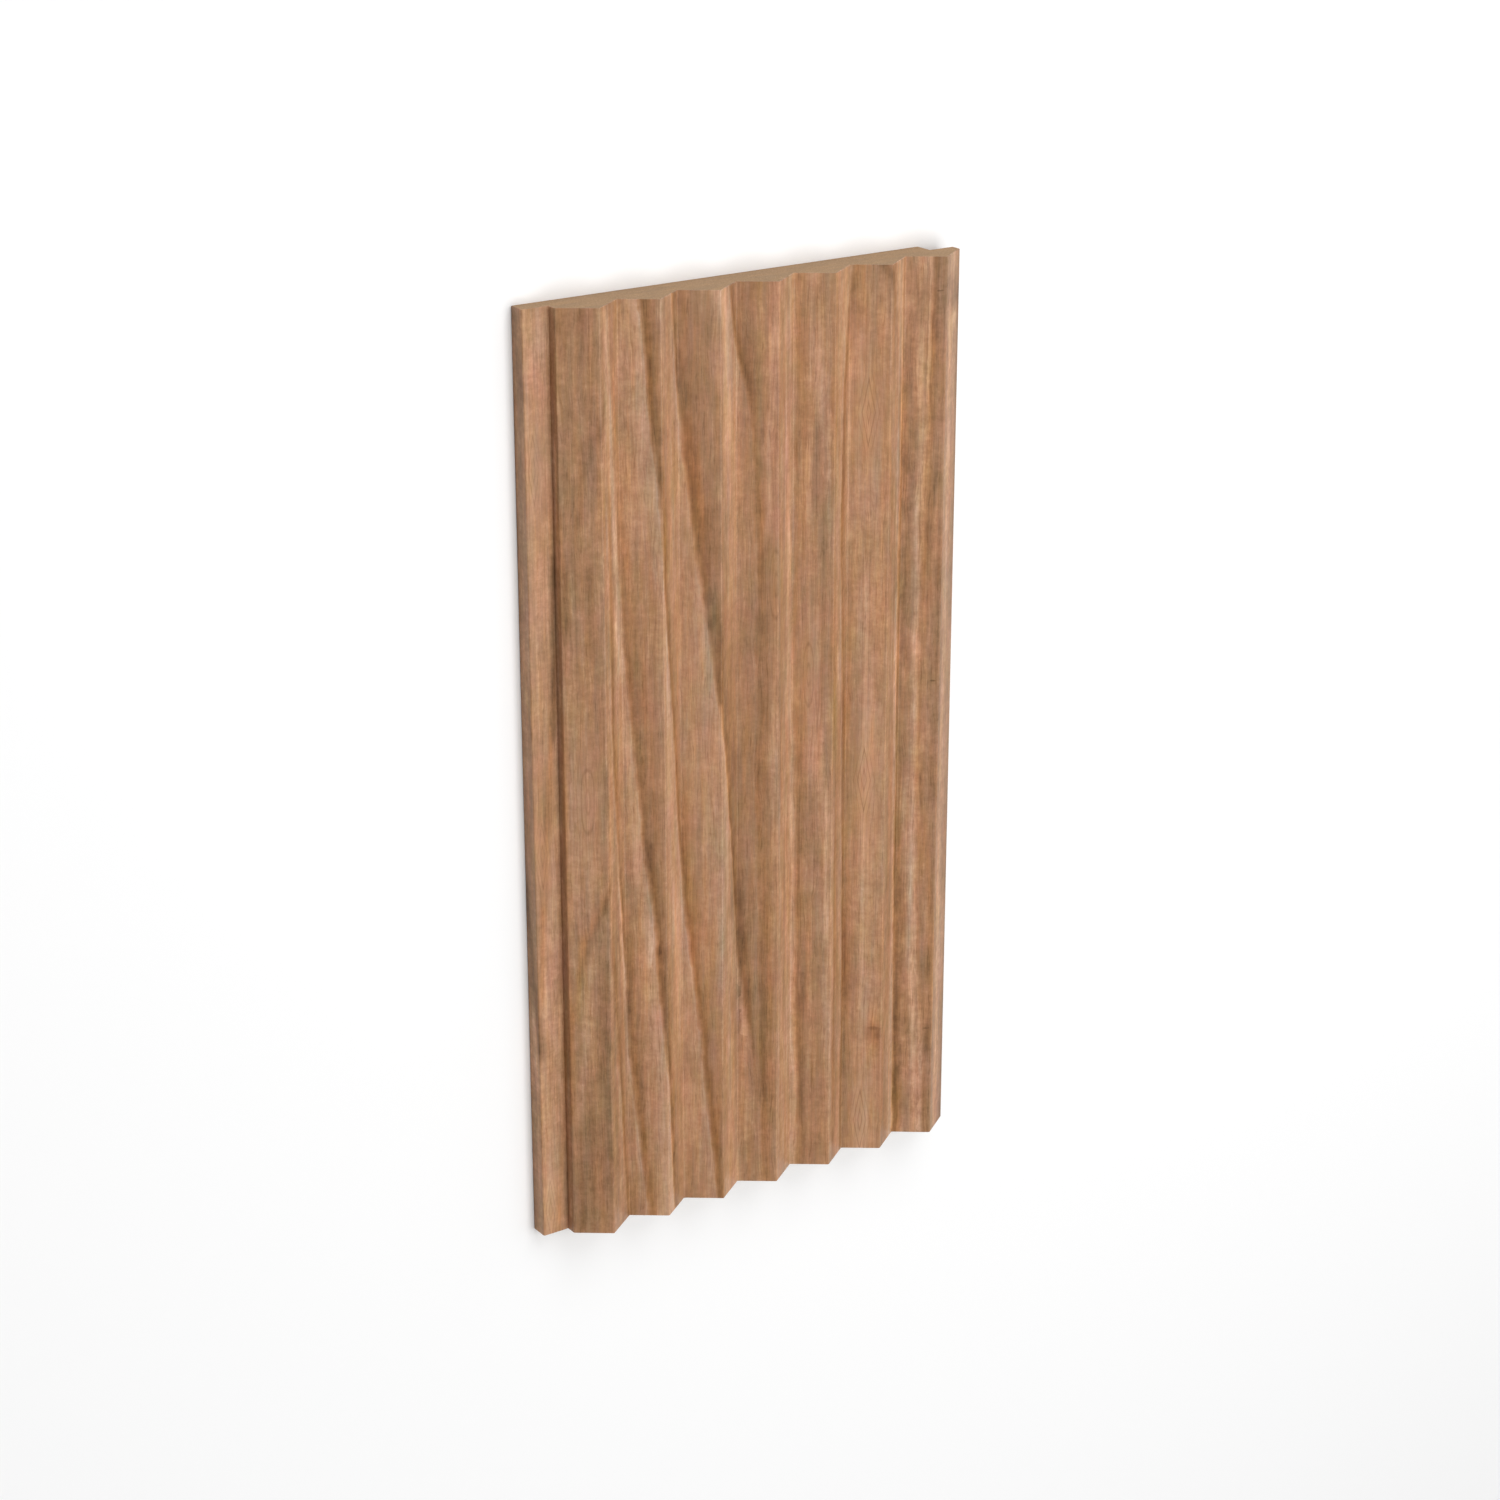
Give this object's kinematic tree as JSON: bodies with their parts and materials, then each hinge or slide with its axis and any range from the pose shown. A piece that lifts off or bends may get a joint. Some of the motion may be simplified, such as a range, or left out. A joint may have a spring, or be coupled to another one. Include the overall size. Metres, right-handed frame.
{
  "type": "fibreboard wall panel",
  "caption": "Wood-veneered fibreboard wall panel with sharp zig-zag ridges along its length and lapped long edges, cut to a short length.",
  "frame": {"origin": "middle of the panel's back, on the surface that the panel lies on", "axes": "+X across the ridges towards the lip edge, +Y along the ridges, +Z out of the face"},
  "size_m": [0.2228, 0.429, 0.0245],
  "materials": {
    "fibreboard": "sawn and machined fibreboard, matte",
    "veneer": "brown wood veneer with its grain along the ridges, satin lacquer"
  },
  "bodies": {
    "root": {"fibreboard_core": "fibreboard", "wood_veneer": "veneer"}
  },
  "joints": []
}
